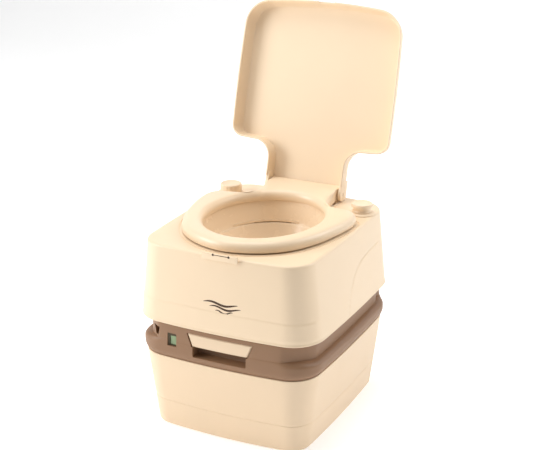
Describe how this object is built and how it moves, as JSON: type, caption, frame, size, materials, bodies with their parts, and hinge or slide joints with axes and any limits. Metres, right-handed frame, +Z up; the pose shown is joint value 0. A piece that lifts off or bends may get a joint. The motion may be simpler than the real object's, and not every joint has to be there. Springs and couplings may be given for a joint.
{
  "type": "portable camp toilet",
  "caption": "Portable flushing camp toilet: flush unit with bowl, seat and lid clipped on a holding tank with slide valve, pour spout and piston pump.",
  "frame": {"origin": "centre of the flat underside, on the floor", "axes": "+Z up, front with the valve handle towards -Y, +X to the right seen from the front"},
  "size_m": [0.3828, 0.503, 0.767],
  "materials": {
    "shell_beige": "fine satin moulded polyethylene, warm beige",
    "seat_beige": "smooth satin moulded plastic, light beige",
    "lid_beige": "smooth moulded plastic, light beige",
    "bowl_beige": "smooth glossy moulded plastic, beige",
    "tub_beige": "fine satin moulded polyethylene, warm beige",
    "band_brown": "fine textured moulded plastic, warm brown",
    "handle_beige": "smooth moulded plastic, beige",
    "internal_grey": "plain moulded plastic, grey",
    "seal_rubber": "soft black rubber",
    "bumper_rubber": "soft beige rubber",
    "spring_steel": "plain steel wire",
    "pin_steel": "plain steel",
    "window_clear": "clear plastic lens",
    "gauge_green": "green and red moulded plastic",
    "hose_clear": "flexible translucent hose"
  },
  "bodies": {
    "holding_tank": {"holding_tank_lower": "tub_beige", "holding_tank_upper": "band_brown", "valve_body": "internal_grey", "valve_cover": "internal_grey", "valve_screws": "pin_steel", "blade_seal": "seal_rubber", "lip_seal": "seal_rubber", "level_window": "window_clear", "float_pin": "pin_steel", "spout_seal": "seal_rubber", "vent_spring": "spring_steel"},
    "valve": {"valve_blade": "internal_grey", "valve_handle": "handle_beige"},
    "spout": {"spout": "band_brown"},
    "spout_cap_gasket": {"spout_cap_gasket": "seal_rubber"},
    "spout_cap": {"spout_cap": "band_brown"},
    "vent": {"vent_button": "internal_grey", "vent_seal": "seal_rubber"},
    "float": {"float_arm": "gauge_green", "float": "internal_grey"},
    "flush_unit": {"flush_tank_shell": "shell_beige", "flush_tank_base": "shell_beige", "bowl": "bowl_beige", "hinge_pin_left": "pin_steel", "hinge_pin_right": "pin_steel", "pump_collar": "shell_beige", "pump_cylinder": "internal_grey", "pump_foot": "internal_grey", "pump_inlet_flap": "seal_rubber", "flush_hose": "hose_clear", "flush_nozzle": "internal_grey", "fill_neck": "shell_beige", "lid_latch_spring": "spring_steel", "coupling_clip_pin": "pin_steel"},
    "seat": {"seat": "seat_beige", "seat_bumpers": "bumper_rubber"},
    "lid": {"lid": "lid_beige"},
    "pump": {"pump_knob": "shell_beige", "pump_rod": "pin_steel", "pump_piston": "internal_grey", "pump_seal": "seal_rubber"},
    "fill_cap_gasket": {"fill_cap_gasket": "seal_rubber"},
    "fill_cap": {"fill_cap": "shell_beige"},
    "lid_latch": {"lid_latch": "shell_beige"},
    "coupling_clip": {"coupling_clip": "band_brown"}
  },
  "joints": [
    {"name": "flush_unit_lift", "type": "slide", "parent": "holding_tank", "child": "flush_unit", "axis": [0, 0, 1], "range_m": [0, 0.07]},
    {"name": "coupling_clip_swing", "type": "hinge", "parent": "flush_unit", "child": "coupling_clip", "pos_m": [0, 0.2105, 0.255], "axis": [1, 0, 0], "range_deg": [0, 33.5]},
    {"name": "lid_hinge", "type": "hinge", "parent": "flush_unit", "child": "lid", "pos_m": [0, 0.1737, 0.3962], "axis": [-1, 0, 0], "range_deg": [-105.6, 0]},
    {"name": "seat_hinge", "type": "hinge", "parent": "flush_unit", "child": "seat", "pos_m": [0, 0.1737, 0.3962], "axis": [-1, 0, 0], "range_deg": [0, 98]},
    {"name": "pump_stroke", "type": "slide", "parent": "flush_unit", "child": "pump", "axis": [0, 0, 1], "range_m": [0, 0.075]},
    {"name": "fill_cap_lift", "type": "slide", "parent": "flush_unit", "child": "fill_cap_gasket", "axis": [0, 0, 1], "range_m": [0, 0.05]},
    {"name": "fill_cap_turn", "type": "hinge", "parent": "fill_cap_gasket", "child": "fill_cap", "pos_m": [-0.146, 0.127, 0.395], "axis": [0, 0, 1], "range_deg": [0, 180]},
    {"name": "lid_latch_press", "type": "slide", "parent": "flush_unit", "child": "lid_latch", "axis": [0, -1, 0], "range_m": [0, 0.0025], "stiffness_N_per_m": 400, "springref_m": -0.003},
    {"name": "valve_slide", "type": "slide", "parent": "holding_tank", "child": "valve", "axis": [0, -1, 0], "range_m": [0, 0.102]},
    {"name": "spout_swing", "type": "hinge", "parent": "holding_tank", "child": "spout", "pos_m": [0.13, 0.185, 0.195], "axis": [0, 0, -1], "range_deg": [0, 90]},
    {"name": "spout_cap_pull", "type": "slide", "parent": "spout", "child": "spout_cap_gasket", "axis": [-1, 0, 0], "range_m": [0, 0.03]},
    {"name": "spout_cap_turn", "type": "hinge", "parent": "spout_cap_gasket", "child": "spout_cap", "pos_m": [0.029, 0.185, 0.195], "axis": [-1, 0, 0], "range_deg": [0, 180]},
    {"name": "vent_press", "type": "slide", "parent": "holding_tank", "child": "vent", "axis": [0, 0, -1], "range_m": [0, 0.002], "stiffness_N_per_m": 300, "springref_m": -0.003, "deforming": ["vent_spring"]},
    {"name": "float_rise", "type": "hinge", "parent": "holding_tank", "child": "float", "pos_m": [-0.098, -0.17, 0.196], "axis": [1, 0, 0], "range_deg": [0, 16]}
  ],
  "couplings": [
    {"joint": "coupling_clip_swing", "follows": "flush_unit_lift", "rad_per_m": 8.235}
  ]
}
